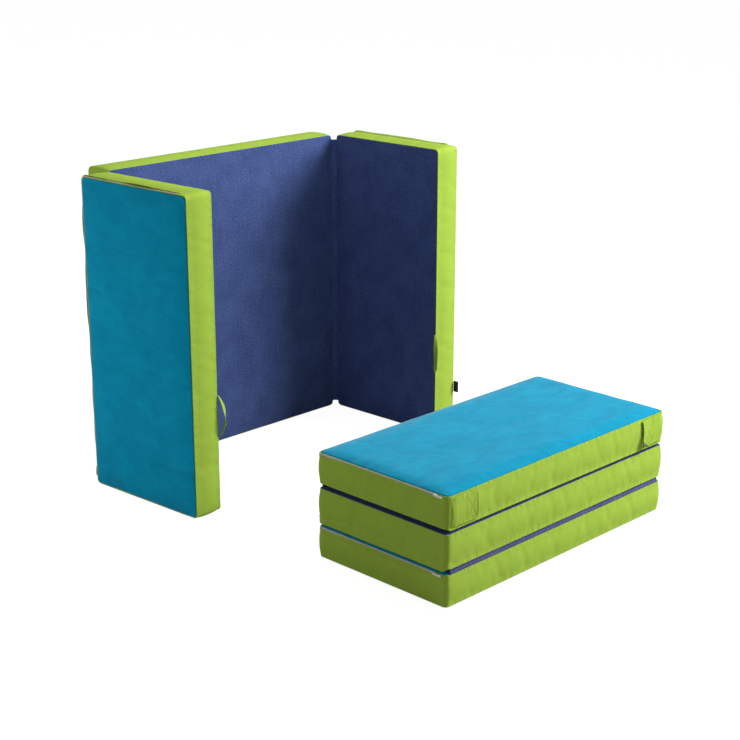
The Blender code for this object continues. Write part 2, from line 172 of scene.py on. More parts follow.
def thicken(obj, thickness, offset=-1):
    """Gives a sheet its thickness, inward for -1 and outward for 1."""
    made = obj.modifiers.new("thickness", "SOLIDIFY")
    made.thickness = thickness
    made.offset = offset
    made.use_even_offset = False
    return obj


def linear(colour):
    """An sRGB hex colour as linear red, green, blue and alpha: a straight toe, and above it the
    sRGB curve's power of 2.4."""
    parts = np.array([int(colour[i:i + 2], 16) for i in (1, 3, 5)]) / 255
    curved = np.where(parts <= 0.04045, parts / 12.92, ((parts + 0.055) / 1.055) ** 2.4)
    return (*curved.tolist(), 1.0)


def add(tree, kind, inputs=None, **settings):
    """Adds a shader node with its settings; each named socket gets a value or another's output."""
    made = tree.nodes.new("ShaderNode" + kind)
    for name, value in settings.items():
        setattr(made, name, value)
    for socket, value in (inputs or {}).items():
        if isinstance(value, bpy.types.NodeSocket):
            tree.links.new(value, made.inputs[socket])
        else:
            made.inputs[socket].default_value = value
    return made


def new_material(name):
    """An empty material and its shader nodes."""
    made = bpy.data.materials.new(name)
    made.use_nodes = True
    tree = made.node_tree
    tree.nodes.clear()
    return made, tree


def surface(tree, look):
    """Gives the material a shader, or the principled one with the sockets passed."""
    shader = add(tree, "BsdfPrincipled", look) if isinstance(look, dict) else look
    add(tree, "OutputMaterial", {"Surface": shader.outputs[0]})


def tone_between(tree, share, dark, light):
    """A colour between two hex colours."""
    mixed = add(tree, "Mix", {0: share, 6: linear(dark), 7: linear(light)}, data_type="RGBA")
    return mixed.outputs[2]


def grained(name, dark, light, scale, roughness, detail=2.0, cells=False, bump=0.0, specular=0.5):
    """A material whose tone runs between two colours in a fine noise, or in cells, which also lifts
    it by the distance bump. A pair of roughnesses follows the same pattern."""
    made, tree = new_material(name)
    place = add(tree, "TexCoord").outputs["Object"]
    if cells:
        grain = add(tree, "TexVoronoi", {"Vector": place, "Scale": scale}).outputs["Distance"]
    else:
        noise = add(tree, "TexNoise", {"Vector": place, "Scale": scale, "Detail": detail})
        grain = noise.outputs[0]
    tone = tone_between(tree, grain, dark, light)
    look = {"Base Color": tone, "Roughness": roughness, "Specular IOR Level": specular}
    if isinstance(roughness, tuple):
        follow = {"Value": grain, "To Min": roughness[0], "To Max": roughness[1]}
        look["Roughness"] = add(tree, "MapRange", follow).outputs[0]
    if bump:
        look["Normal"] = add(tree, "Bump", {"Height": grain, "Distance": bump}).outputs[0]
    surface(tree, look)
    return made


# Polyurethane foam, hot-wire cut: pale cream and matt, with fine open cells.
FOAM = grained("polyurethane_foam_cut", "#E9E2C8", "#F6F1DF", 400.0, 0.95, cells=True, bump=0.0006)
FOAM_INSET = 0.009  # from the cover's outer surface, so that the cloth may dip
FOAM_POINTS = 48  # round the block
FOAM_POWER = 0.12  # of the superellipse: 0 would be a sharp rectangle and 1 an ellipse
FOAM_LEVELS = np.array([-1, -1, -0.9, -0.4, 0.4, 0.9, 1, 1])  # shares of its half thickness
FOAM_EASE = np.array([0.05, 0.006, 0, 0, 0, 0, 0.006, 0.05])  # how far each ring lies inside


def foam_slab(section):
    """A closed block: rings from face to face, each a superellipse near to a rectangle, that draw
    in at both faces, with a pole in the middle of each."""
    angles = (np.arange(FOAM_POINTS) + 0.5) * 2 * math.pi / FOAM_POINTS
    wide, tall = np.cos(angles)[:, None], np.sin(angles)[:, None]
    half_t = section.half_t - FOAM_INSET / 2
    reach_u, reach_v = section.half_u - FOAM_INSET, section.half_v - FOAM_INSET
    ring_u = (reach_u - FOAM_EASE) * np.sign(wide) * np.abs(wide) ** FOAM_POWER
    ring_v = (reach_v - FOAM_EASE) * np.sign(tall) * np.abs(tall) ** FOAM_POWER
    rings = np.stack([ring_u, ring_v, half_t * FOAM_LEVELS + 0 * ring_u], axis=-1)
    poles = np.array([[0, 0, -half_t], [0, 0, half_t]])
    levels = len(FOAM_LEVELS)
    lowest = levels * np.arange(FOAM_POINTS)
    after, low_pole = np.roll(lowest, -1), levels * FOAM_POINTS
    low_cap = np.stack([np.full(FOAM_POINTS, low_pole), after, lowest], axis=1)
    top_cap = np.stack([np.full(FOAM_POINTS, low_pole + 1), lowest, after], axis=1)
    top_cap += [0, levels - 1, levels - 1]
    sides = grid_quads(FOAM_POINTS, levels, closed=True)
    faces = sides.tolist() + low_cap.tolist() + top_cap.tolist()
    points = section.place(np.concatenate([rings.reshape(-1, 3), poles]))
    obj = new_piece(section.name + "_foam_slab", points, faces, FOAM)
    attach(obj, section.body)
    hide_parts(section.name + "_foam_core")


for section in SECTIONS:
    foam_slab(section)

# Covers. Each slab has a sewn cover of three cloths: teal plush outside, navy twill inside and a
# lime gusset between. The foam fills it tight, so its faces crown and its seams pull in.

BESIDE_SEAM = np.array([0, 0.0014, 0.003, 0.0055, 0.010, 0.017, 0.027, 0.042, 0.063])
BESIDE_GUSSET_SEAM = np.array([0, 0.0014, 0.003, 0.005, 0.0085, 0.014, 0.021, 0.031, 0.043])
GRID = 0.016
PLUSH_SINK, WOVEN_SINK = 0.0032, 0.0014  # how far the stitching draws each seam in
WAVE = 0.25  # how unevenly
GROOVE = 0.0028  # how far the draw reaches from the stitching
RIDGE, RIDGE_AT, RIDGE_WIDTH = 0.0008, 0.003, 0.0014  # the seam allowances lift the cloth beside it
HANG_WIDTH = 0.0027  # on the edge without a zip the gusset hangs past the seam in a fold this wide
HANG_PROUD = 0.15  # and stands off by this share of the hang
EDGE_WAYS = np.array([[0, -1], [1, 0], [0, 1], [-1, 0]])
SLACK = 0.0038  # how much smaller the cover starts before the foam's pressure swells it
SLACK_RUN = 0.06  # from the seam
HELD_INSET, HELD_SHARE = 0.004, 0.78  # the stitching holds a face and a gusset so near to it
GUSSET_SLACK = 0.4 * SLACK
FACE_UNEVEN, GUSSET_UNEVEN = 0.35, 0.14  # the start's ripples, as shares of the slack
SWELL_CAP, SWELL_FRAMES = 0.0045, 20
COVER_THICKNESS = 0.0014
RIPPLE_COUNT = 14


def grid_lines(half):
    """Positions across a face: close together beside the seams, even between them."""
    near = BESIDE_SEAM[:-1]
    inner = half - BESIDE_SEAM[-1]
    even = np.linspace(-inner, inner, round(2 * inner / GRID) + 1)
    return np.concatenate([near - half, even, (half - near)[::-1]])


def ripples(x, y, seed, short, long):
    """Smooth unevenness between about -1 and 1: a sum of plane waves with seeded directions,
    lengths from short to long and phases."""
    draw = np.random.default_rng(seed)
    total = np.zeros_like(x)
    for _ in range(RIPPLE_COUNT):
        way = draw.uniform(0, math.pi)
        length = draw.uniform(short, long)
        phase = draw.uniform(0, 6.28)
        total += np.sin((x * math.cos(way) + y * math.sin(way)) * 2 * math.pi / length + phase)
    return total / math.sqrt(RIPPLE_COUNT)


def bell(distance, width):
    """A smooth hump, 1 in its middle: e to the minus square of the distance over the width."""
    return np.exp(-((distance / width) ** 2))


def cover_shape(section, seed):
    """The cover as three grids in u, v and w. A face's rise is a parabola of its inset over the
    section's crown run, and the gusset's swell a parabola between its seams. Both dip in a bell at
    the stitching and rise in another beside it."""
    us, vs = grid_lines(section.half_u), grid_lines(section.half_v)
    x, y = np.meshgrid(us, vs, indexing="ij")
    new_x, new_y, inset, out_x, out_y = rounded(section, x, y)
    faces = []
    for side, crown, lead, sink in ((1, section.plush_crown, 0.0, PLUSH_SINK),
                                    (-1, section.woven_crown, section.woven_lead, WOVEN_SINK)):
        rise = 1 - (1 - np.clip((inset - lead) / section.crown_run, 0, 1)) ** 2
        wave = 1 + WAVE * ripples(new_x, new_y, seed + side, 0.06, 0.20)
        dip = sink * wave * bell(inset, GROOVE)
        height = section.half_t + crown * rise - dip + RIDGE * bell(inset - RIDGE_AT, RIDGE_WIDTH)
        faces.append(np.stack([new_x - out_x * dip, new_y - out_y * dip, side * height], axis=-1))
    n, m = x.shape
    up_n, up_m = np.arange(n - 1), np.arange(m - 1)
    i = np.concatenate([up_n, 0 * up_m + n - 1, n - 1 - up_n, 0 * up_m])
    j = np.concatenate([0 * up_n, up_m, 0 * up_n + m - 1, m - 1 - up_m])
    base = np.stack([new_x[i, j], new_y[i, j]], axis=-1)
    out = np.stack([out_x[i, j], out_y[i, j]], axis=-1)
    half_levels = section.half_t - BESIDE_GUSSET_SEAM
    levels = np.concatenate([-half_levels, [0], half_levels[::-1]])
    above = bell(half_levels[2] - levels, HANG_WIDTH)
    below = bell(levels + half_levels[2], HANG_WIDTH)
    plain = np.clip((out @ EDGE_WAYS[section.plain_edge] - 0.7) / 0.3, 0, 1)[:, None]
    folded = plain * (section.plush_hang * above + section.woven_hang * below)
    proud = (section.bulge * (1 - (levels / section.half_t) ** 2) + RIDGE * below
             + HANG_PROUD * folded)
    ring = base[:, None, :] + proud[..., None] * out[:, None, :]
    depth = levels + plain * (section.plush_hang * above - section.woven_hang * below)
    gusset = np.concatenate([ring, depth[..., None]], axis=-1)
    gusset[:, -1], gusset[:, 0] = faces[0][i, j], faces[1][i, j]
    step = np.linalg.norm(np.roll(base, -1, axis=0) - base, axis=1)
    run = np.concatenate([[0], np.cumsum(step)[:-1]])
    starts = run[np.array([0, n - 1, n + m - 2, 2 * n + m - 3])]
    length = float(step.sum())
    return {"faces": faces, "gusset": gusset, "inset": inset, "run": run, "edge": (i, j),
            "flat": (x, y), "out": out, "levels": levels, "length": length, "edge_starts": starts,
            "edge_lengths": np.diff(np.append(starts, length))}


def swell(section, shape, seed):
    """Blows the cover up from a slacker start with a cloth simulation: its seams are held, its
    inside is under pressure, and no point moves further than SWELL_CAP. Returns the moved grids."""
    plush, woven = shape["faces"]
    gusset = shape["gusset"]
    n, m = shape["inset"].shape
    x, y = shape["flat"]
    rise = 1 - (1 - np.minimum(shape["inset"] / SLACK_RUN, 1)) ** 2
    start_plush, start_woven, start_gusset = plush.copy(), woven.copy(), gusset.copy()
    uneven = FACE_UNEVEN * ripples(x, y, seed, 0.12, 0.36)
    start_plush[..., 2] -= SLACK * rise * (1 + uneven)
    start_woven[..., 2] += SLACK * rise * (1 - uneven)
    shares = shape["levels"] / section.half_t
    side = 1 - shares ** 2
    run = shape["run"]
    around = run[:, None] + 0 * side[None]
    shade = GUSSET_UNEVEN * ripples(around, gusset[..., 2], seed + 50, 0.12, 0.40)
    slack = GUSSET_SLACK * side[None] * (1 + shade)
    start_gusset[..., :2] -= slack[..., None] * shape["out"][:, None]
    edge = np.full((len(run), len(shares)), -1)
    i, j = shape["edge"]
    edge[:, -1] = i * m + j
    edge[:, 0] = n * m + i * m + j
    inner = np.arange(len(run) * (len(shares) - 2)).reshape(len(run), -1)
    edge[:, 1:-1] = 2 * n * m + inner
    quads = np.concatenate([
        grid_quads(n, m), grid_quads(n, m, first=n * m)[:, ::-1],
        quads_between(np.concatenate([edge, edge[:1]])),
    ])
    grids = (start_plush, start_woven, start_gusset[:, 1:-1])
    start = np.concatenate([grid.reshape(-1, 3) for grid in grids])
    mesh = bpy.data.meshes.new("cover_blank")
    mesh.from_pydata(start.tolist(), [], quads.tolist())
    blank = new_object("cover_blank", mesh)
    held = blank.vertex_groups.new(name="seams")
    beside_seam = np.flatnonzero(shape["inset"].ravel() < HELD_INSET)
    points = [edge[:, np.abs(shares) > HELD_SHARE].ravel(), beside_seam, beside_seam + n * m]
    held.add(np.unique(np.concatenate(points)).tolist(), 1.0, "REPLACE")
    cloth = blank.modifiers.new("cloth", "CLOTH")
    fabric = cloth.settings
    fabric.quality, fabric.mass = 4, 0.3
    fabric.tension_stiffness = fabric.compression_stiffness = 15
    fabric.shear_stiffness, fabric.bending_stiffness = 5, 0.5
    fabric.use_pressure, fabric.uniform_pressure_force = True, 4
    fabric.effector_weights.gravity = 0
    fabric.vertex_group_mass = "seams"
    fabric.shrink_min = -0.004
    cloth.collision_settings.use_collision = False
    cloth.point_cache.frame_start, cloth.point_cache.frame_end = 1, SWELL_FRAMES
    scene = bpy.context.scene
    for step in range(1, SWELL_FRAMES + 1):
        scene.frame_set(step)
    settled = blank.evaluated_get(bpy.context.evaluated_depsgraph_get()).data
    moved = np.empty(len(start) * 3, np.float32)
    settled.vertices.foreach_get("co", moved)
    scene.frame_set(1)
    bpy.data.objects.remove(blank, do_unlink=True)
    bpy.data.meshes.remove(mesh)
    change = moved.reshape(-1, 3).astype(float) - start
    far = np.linalg.norm(change, axis=1, keepdims=True)
    change *= SWELL_CAP * np.tanh(far / SWELL_CAP) / np.maximum(far, 1e-9)
    final = start + change
    plush_new, woven_new = final[:2 * n * m].reshape(2, n, m, 3)
    gusset_new = gusset.copy()
    gusset_new[:, 1:-1] = final[2 * n * m:].reshape(len(run), -1, 3)
    plush_new[..., 2] = np.minimum(plush_new[..., 2], plush[..., 2])
    woven_new[..., 2] = np.maximum(woven_new[..., 2], woven[..., 2])
    return [plush_new, woven_new, gusset_new]


def cloth_noise(tree, flat, along, across, turn=0.0, **look):
    """Noise on the flat cloth, so many waves to a metre along and across, turned by an angle."""
    drawn = add(tree, "Mapping", {"Vector": flat, "Rotation": (0.0, 0.0, turn),
                                  "Scale": (along, across, 1.0)})
    return add(tree, "TexNoise", {"Vector": drawn.outputs[0], "Scale": 1.0, **look}).outputs[0]


def times_plus(tree, value, factor, rest):
    """The value times the factor, plus the rest."""
    return add(tree, "Math", {0: value, 1: factor, 2: rest}, operation="MULTIPLY_ADD").outputs[0]


def plush_pile():
    """Polyester plush, knitted with a short raised pile. Its nap lies in cloudy patches and streaks
    that the bump leans to or from the light, and its colour is painted lighter and darker in the
    same patches, a painted sheen. It goes pale where it is seen along the pile."""
    made, tree = new_material("polyester_plush_teal")
    flat = add(tree, "UVMap", uv_map="cloth").outputs[0]
    clouds = cloth_noise(tree, flat, 7.0, 13.0, 0.5, Detail=6.0, Roughness=0.62, Distortion=0.7)
    streaks = cloth_noise(tree, flat, 22.0, 60.0, -0.35, Detail=3.0, Distortion=0.5)
    pile = add(tree, "TexNoise", {"Vector": flat, "Scale": 300.0, "Detail": 2.0}).outputs[0]
    nap_and_painted_sheen = times_plus(tree, streaks, 0.14, clouds)
    # Painted sheen: the base colour is painted lighter and darker in the nap's patches.
    tone = add(tree, "MapRange", {"Value": nap_and_painted_sheen, "From Min": 0.32, "From Max": 0.82}).outputs[0]
    raised = times_plus(tree, pile, 0.08, nap_and_painted_sheen)
    bump = add(tree, "Bump", {"Height": raised, "Distance": 0.005})
    surface(tree, {
        "Base Color": tone_between(tree, tone, "#0088AE", "#029EC4"), "Roughness": 0.9,
        "Normal": bump.outputs[0], "Sheen Weight": 0.26, "Sheen Roughness": 0.4,
        "Sheen Tint": linear("#D0F0FA"), "Specular IOR Level": 0.03})
    return made


def woven_cloth(name, dark, light, grain, streak, roughness, specular, sheen):
    """A woven cotton and polyester cloth. grain is how many uneven yarns show in a metre, drawn
    coarser than the real half millimetre so that they can be seen, and streak how strongly the
    yarns across it show. Beside a seam the stitching gathers it in short puckers."""
    made, tree = new_material(name)
    flat = add(tree, "UVMap", uv_map="cloth").outputs[0]
    yarn = add(tree, "TexNoise", {"Vector": flat, "Scale": grain, "Detail": 3.0, "Roughness": 0.6})
    wash = add(tree, "TexNoise", {"Vector": flat, "Scale": 8.0, "Detail": 3.0}).outputs[0]
    weave = times_plus(tree, cloth_noise(tree, flat, 210.0, 9.0), streak, yarn.outputs[0])
    middle = 0.5 * (1.5 + streak)
    tone = add(tree, "MapRange", {"Value": times_plus(tree, wash, 0.5, weave),
                                  "From Min": middle - 0.22, "From Max": middle + 0.22})
    near = add(tree, "Attribute", attribute_name="seam").outputs["Fac"]
    fade = add(tree, "MapRange", {"Value": near, "From Max": 0.025, "To Min": 1.0, "To Max": 0.0})
    puckers = cloth_noise(tree, flat, 60.0, 12.0, Detail=1.0)
    gather = add(tree, "Math", {0: puckers, 1: fade.outputs[0]}, operation="MULTIPLY")
    folds = add(tree, "Bump", {"Height": gather.outputs[0], "Distance": 0.006, "Strength": 0.7})
    threads = add(tree, "Bump", {"Height": weave, "Distance": 0.0007, "Strength": 0.6,
                                 "Normal": folds.outputs[0]})
    surface(tree, {
        "Base Color": tone_between(tree, tone.outputs[0], dark, light), "Roughness": roughness,
        "Normal": threads.outputs[0], "Sheen Weight": sheen, "Sheen Roughness": 0.5,
        "Specular IOR Level": specular})
    return made


PLUSH = plush_pile()
TWILL = woven_cloth("cotton_twill_navy", "#334270", "#4E6196", 140.0, 0.3, 0.85, 0.05, 0.06)
LIME = woven_cloth("cotton_poplin_lime", "#97B43F", "#A2C147", 240.0, 0.4, 0.80, 0.10, 0.0)


def build_cover(section, seed):
    """The three cloths of one cover, each from its own grid after the swelling."""
    shape = cover_shape(section, seed)
    plush, woven, gusset = swell(section, shape, seed)
    n, m = shape["inset"].shape
    flat = np.stack(shape["flat"], axis=-1)
    run, inset = shape["run"], shape["inset"]
    level = np.broadcast_to(shape["levels"][None], gusset.shape[:2])
    band_flat = np.stack([np.broadcast_to(run[:, None], level.shape), level], axis=-1)
    pieces = [
        ("plush_cover", "plush_face", "teal_plush", PLUSH, plush, grid_quads(n, m), flat, inset),
        ("twill_cover", "woven_face", "navy_weave", TWILL, woven, grid_quads(n, m)[:, ::-1], flat,
         inset),
        ("gusset", "border", "lime_cloth", LIME, gusset, grid_quads(*level.shape, closed=True),
         band_flat, section.half_t - np.abs(level)),
    ]
    for name, node, slot, material, points, *sewn in pieces:
        quads, cloth_uv, seam = sewn
        obj = new_piece(f"{section.name}_{name}", section.place(points), quads, material, cloth_uv,
                        seam)
        smooth(obj)
        thicken(obj, COVER_THICKNESS)
        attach(obj, section.body)
        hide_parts(f"{section.name}_{node}")
    return shape, gusset


COVERS = {}
for number, section in enumerate(SECTIONS):
    COVERS[section.name] = build_cover(section, 7 * number + 1)

# Zips. A coil zip beside the plush seam on three edges of each cover: a pale woven tape with a
# nylon coil down its middle, a slider and pull cast in enamelled zinc, and the gusset's edge folded
# up in a placket beside it.

ZIP_HIGH = 0.002  # where the tape begins, below the plush seam
ZIP_LIFT = 0.0003
ZIP_END = 0.042  # from a corner to the end of the tape
ZIP_STEP = 0.006
TAPE_ACROSS = np.array([0, 0.0022, 0.0027, 0.0040, 0.0053, 0.0058, 0.0080, 0.0080, 0]) + ZIP_HIGH
TAPE_HEIGHTS = np.array([0.0004, 0.0005, 0.0010, 0.0012, 0.0010, 0.0005, 0.0004, -0.0003, -0.0003])
TOOTH_PITCH = 0.0032  # twice that of the real coil, so that the teeth can be seen
TOOTH_SIZE = (0.0013, 0.0042, 0.0011)
TOOTH_LIFT = 0.0006  # off the tape
SLIDER_EDGES = {"back": 1, "left": 3, "right": 1, "seat_bottom": 3, "seat_middle": 1, "seat_top": 3}
STOP, STOP_ROOM = 0.045, 0.050  # from a corner to where the slider halts, and its room there
PLACKET_SINK, PLACKET_SINK_RUN = 0.0014, 0.008
FOLD_BASE = 0.004  # nearer to the seam, a fold is measured from the gusset at this distance
# Distances below the plush seam and lifts in millimetres, round the two layers of a fold.
FOLD_FLAT = np.array([
    [10.7, 0.9], [12.2, 1.1], [15.0, 1.1], [17.4, 0.9], [19.2, 0.6], [21.4, 0.1], [21.2, -0.6],
    [19.0, -0.5], [17.0, -0.4], [15.0, -0.3], [12.4, -0.2], [11.0, -0.1], [11.2, 0.0], [13.0, 0.1],
    [15.2, 0.2], [13.6, 0.4], [12.2, 0.4], [10.9, 0.4]]) / 1000
FOLD_UP = np.array([
    [3.0, 7.9], [4.4, 9.0], [10.0, 9.3], [15.0, 7.4], [19.2, 3.6], [23.4, 0.1], [23.2, -0.6],
    [17.6, 0.4], [14.0, 1.4], [10.4, 2.3], [3.4, 2.2], [3.0, 2.5], [3.4, 2.8], [10.0, 2.9],
    [14.6, 4.2], [10.4, 8.1], [5.4, 8.1], [3.2, 7.3]]) / 1000
LAP_FLAT = np.concatenate([FOLD_FLAT[:7], np.array([
    [19.0, -0.4], [17.4, -0.2], [15.0, 0.0], [12.2, 0.1], [10.9, 0.2]]) / 1000])


def lap_over(edge):
    """A fold laid over the teeth, with its free edge so many millimetres below the plush seam."""
    half = (edge + 12) / 2
    return np.array([
        [edge, 3.1], [edge + 1.2, 3.8], [half, 3.9], [12, 3.4], [16, 1.9], [21.4, 0.1],
        [21.2, -0.6], [18, -0.2], [15.5, 0.5], [12, 2.5], [half, 3.0], [edge + 0.3, 2.8]]) / 1000


def on_gusset(cover, run, level, lift):
    """Points and outward directions on a gusset, at distances round it and levels through it. The
    grid is read by straight interpolation, across it and then round."""
    shape, gusset = cover
    total = shape["length"]
    rounds = np.concatenate([shape["run"], [total]])
    run = np.mod(run, total)
    place = np.interp(run, rounds, np.arange(len(rounds)))
    low = np.minimum(place.astype(int), len(rounds) - 2)
    share = (place - low)[..., None]
    columns = np.interp(level, shape["levels"], np.arange(len(shape["levels"])))
    left = np.minimum(columns.astype(int), len(shape["levels"]) - 2)
    across = (columns - left)[..., None]
    after = (low + 1) % len(shape["run"])
    near = gusset[low, left] * (1 - across) + gusset[low, left + 1] * across
    far = gusset[after, left] * (1 - across) + gusset[after, left + 1] * across
    out = shape["out"][low] * (1 - share) + shape["out"][after] * share
    out = np.concatenate([out / np.linalg.norm(out, axis=-1, keepdims=True), 0 * share], axis=-1)
    return near * (1 - share) + far * share + lift[..., None] * out, out


def tube_faces(rows, columns):
    """Faces of a tube whose rows are closed rings, outward where each ring runs clockwise along it,
    with one face over each end."""
    index = np.arange(rows * columns).reshape(rows, columns)
    sides = quads_between(np.concatenate([index, index[:, :1]], axis=1))
    return sides.tolist() + [index[0].tolist(), index[-1, ::-1].tolist()]


# Woven polyester tape: off-white and matt, with a fine weave.
ZIP_TAPE = grained("polyester_zip_tape", "#B4B4A6", "#DCDBD0", 900.0, 0.8, bump=0.0004)
# Extruded nylon coil: pale grey, slightly glossy, a little dirtied between its turns.
ZIP_COIL = grained("nylon_zip_coil", "#BDBCB0", "#E4E3DA", 60.0, 0.4, detail=3.0)
# Die-cast zinc under white stoving enamel: smooth and half glossy, greyer and duller in patches
# where it has been handled.
ZIP_METAL = grained("enamelled_zinc", "#CFCFCA", "#F4F4F0", 120.0, (0.3, 0.5), detail=4.0)
BOX_FACES = np.array([[0, 1, 2, 3], [7, 6, 5, 4], [0, 4, 5, 1], [1, 5, 6, 2], [2, 6, 7, 3],
                      [3, 7, 4, 0]])
BOX_FOOT = np.tile(np.array([[-1, -1], [1, -1], [1, 1], [-1, 1]]) / 2, (2, 1))


def box_faces(count):
    """Faces of so many small boxes of 8 points each, numbered one after the other."""
    return (BOX_FACES[None] + 8 * np.arange(count)[:, None, None]).reshape(-1, 4)


def placket(section, begin, end, ramp, flat_form, raised_form, mean, waver, seed):
    """One profile carried beside the zip, between a flat and a raised form of it. The share of the
    raised one changes along it in seeded ripples, and is none at both ends, under a section and
    where the slider halts. Both ends sink into the gusset."""
    cover = COVERS[section.name]
    runs = np.linspace(begin, end, round((end - begin) / ZIP_STEP) + 1)
    run, level = np.meshgrid(runs, section.half_t - flat_form[:, 0], indexing="ij")
    _, out = on_gusset(cover, run, level, 0 * run)
    upward = out @ np.array([section.u[2], section.v[2], section.w[2]])
    from_end = np.minimum(run - begin, end - run)
    ends = np.clip(from_end / ramp, 0, 1)
    raised = np.clip(mean + waver * ripples(run, 0 * run, seed, 0.09, 0.36), 0.35, 1.1)
    raised = raised * ends ** 2 * (3 - 2 * ends) * np.clip(1 + 2 * upward, 0, 1)
    edge = SLIDER_EDGES[section.name]
    first = cover[0]["edge_starts"][edge]
    for stop in (first + STOP, first + cover[0]["edge_lengths"][edge] - STOP):
        raised = raised * (1 - bell(run - stop, STOP_ROOM))
    form = flat_form + raised[..., None] * (raised_form - flat_form)
    form[..., 1] -= PLACKET_SINK * bell(from_end, PLACKET_SINK_RUN)
    level = section.half_t - form[..., 0]
    beside = np.minimum(level, section.half_t - FOLD_BASE)
    points, _ = on_gusset(cover, run, beside, form[..., 1])
    points[..., 2] += level - beside
    seam = np.broadcast_to(flat_form[:, 0], run.shape)
    obj = new_piece(section.name + "_zip_placket", section.place(points), tube_faces(*run.shape),
                    LIME, np.stack([run, level], axis=-1), seam)
    smooth(obj)
    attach(obj, section.body)


def zip_for(section, past, forms, seed):
    """The tape is one profile carried round three edges, and the teeth are small blocks set across
    it at an even pitch. The fold beside it runs past both ends of the tape."""
    cover = COVERS[section.name]
    shape = cover[0]
    first = (section.plain_edge + 1) % 4
    begin = shape["edge_starts"][first] + ZIP_END
    end = begin + shape["length"] - 2 * ZIP_END - shape["edge_lengths"][section.plain_edge]
    runs = np.linspace(begin, end, round((end - begin) / ZIP_STEP) + 1)
    run, across = np.meshgrid(runs, section.half_t - TAPE_ACROSS, indexing="ij")
    points, _ = on_gusset(cover, run, across, ZIP_LIFT + TAPE_HEIGHTS + 0 * run)
    flat = np.stack([run, across], axis=-1)
    tape = new_piece(section.name + "_zip_tape_and_coil", section.place(points),
                     tube_faces(*run.shape), ZIP_TAPE, flat)
    middle = section.half_t - (TAPE_ACROSS[0] + TAPE_ACROSS[6]) / 2
    places = np.arange(begin + TOOTH_PITCH, end - TOOTH_PITCH, TOOTH_PITCH)
    long, wide, tall = TOOTH_SIZE
    offsets = BOX_FOOT * np.repeat([1.0, 0.72], 4)[:, None] * [long, wide]
    rise = np.repeat([0.0, tall], 4)
    at = places[:, None] + offsets[:, 0]
    level = middle + offsets[:, 1] + 0 * at
    teeth, _ = on_gusset(cover, at, level, ZIP_LIFT + TOOTH_LIFT + rise + 0 * at)
    coil = new_piece(section.name + "_zip_coil", section.place(teeth), box_faces(len(places)),
                     ZIP_COIL)
    for obj in (tape, coil):
        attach(obj, section.body)
    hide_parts(section.name + "_zip_tape")
    placket(section, begin - past[0], end + past[1], *forms, seed)
    for node in ("zip_slider", "zip_pull"):
        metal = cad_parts[f"{section.name}_{node}"]
        for holder in metal.material_slots:
            holder.material = ZIP_METAL


# How far past the tape at both ends, then the ramp, the two forms, and the raised one's mean share
# and waver.
WALL_FOLD = (0.012, 0.012), (0.022, FOLD_FLAT, FOLD_UP, 0.78, 0.34)
SEAT_LAP = (0.014, 0.014), (0.03, LAP_FLAT, lap_over(5.2), 0.95, 0.05)
FOLDS = {
    "back": ((0.012, 0.012), (0.022, FOLD_FLAT, FOLD_UP, 0.38, 0.05)),
    "left": WALL_FOLD,
    "right": WALL_FOLD,
    "seat_bottom": SEAT_LAP,
    "seat_middle": ((0.060, 0.030), (0.03, LAP_FLAT, lap_over(-14.0), 0.98, 0.012)),
    "seat_top": SEAT_LAP,
}
for number, section in enumerate(SECTIONS):
    zip_for(section, *FOLDS[section.name], 400 + number)

# Cloth hinges. Four strips of twill, each a doubled band sewn into two seams: upright in the inner
# corners of the surround, and lying in the folds of the seat. Their ends are turned in and hemmed.

STRIP_STEPS = 200
STRIP_ACROSS = 12
SEWN_IN = 0.0028  # how far each side of a strip runs on into its seam
HEM = 0.012
HEM_RISE, STRIP_THICKNESS = 0.0014, 0.0016
STRIP_SLACK = 0.35  # the share by which a bow's depth changes


def hinge_strip(name, node, body, start, reach, along, bow, peak, seed, material):
    """A band from one seam to the other: straight along, and bowed across by a half sine whose top
    lies at the share peak and whose depth changes a little along it. The hems rise in a bell."""
    share, run = np.meshgrid(np.linspace(0, 1, STRIP_ACROSS + 1),
                             np.linspace(0, 1, STRIP_STEPS + 1), indexing="ij")
    start, reach, along, bow = (np.array(way, float) for way in (start, reach, along, bow))
    length, width = np.linalg.norm(along), np.linalg.norm(reach)
    slack = 1 + STRIP_SLACK * ripples(run * length, 0.3 * share, seed, 0.08, 0.40)
    power = math.log(0.5) / math.log(peak)
    depth = np.sin(math.pi * share ** power) * slack
    edge = np.minimum(run, 1 - run) * length
    hem = -HEM_RISE * bell(edge - HEM / 2, HEM / 3) * np.sin(math.pi * share)
    outward = bow / np.linalg.norm(bow)
    sewn = share * (width + 2 * SEWN_IN) - SEWN_IN
    points = (start + sewn[..., None] * reach / width + run[..., None] * along
              + depth[..., None] * bow + hem[..., None] * outward)
    flat = np.stack([run * length, sewn], axis=-1)
    obj = new_piece(name, points, grid_quads(*share.shape), material, flat,
                    np.minimum(sewn, width - sewn))
    thicken(obj, STRIP_THICKNESS, 0)
    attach(obj, body)
    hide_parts(node)


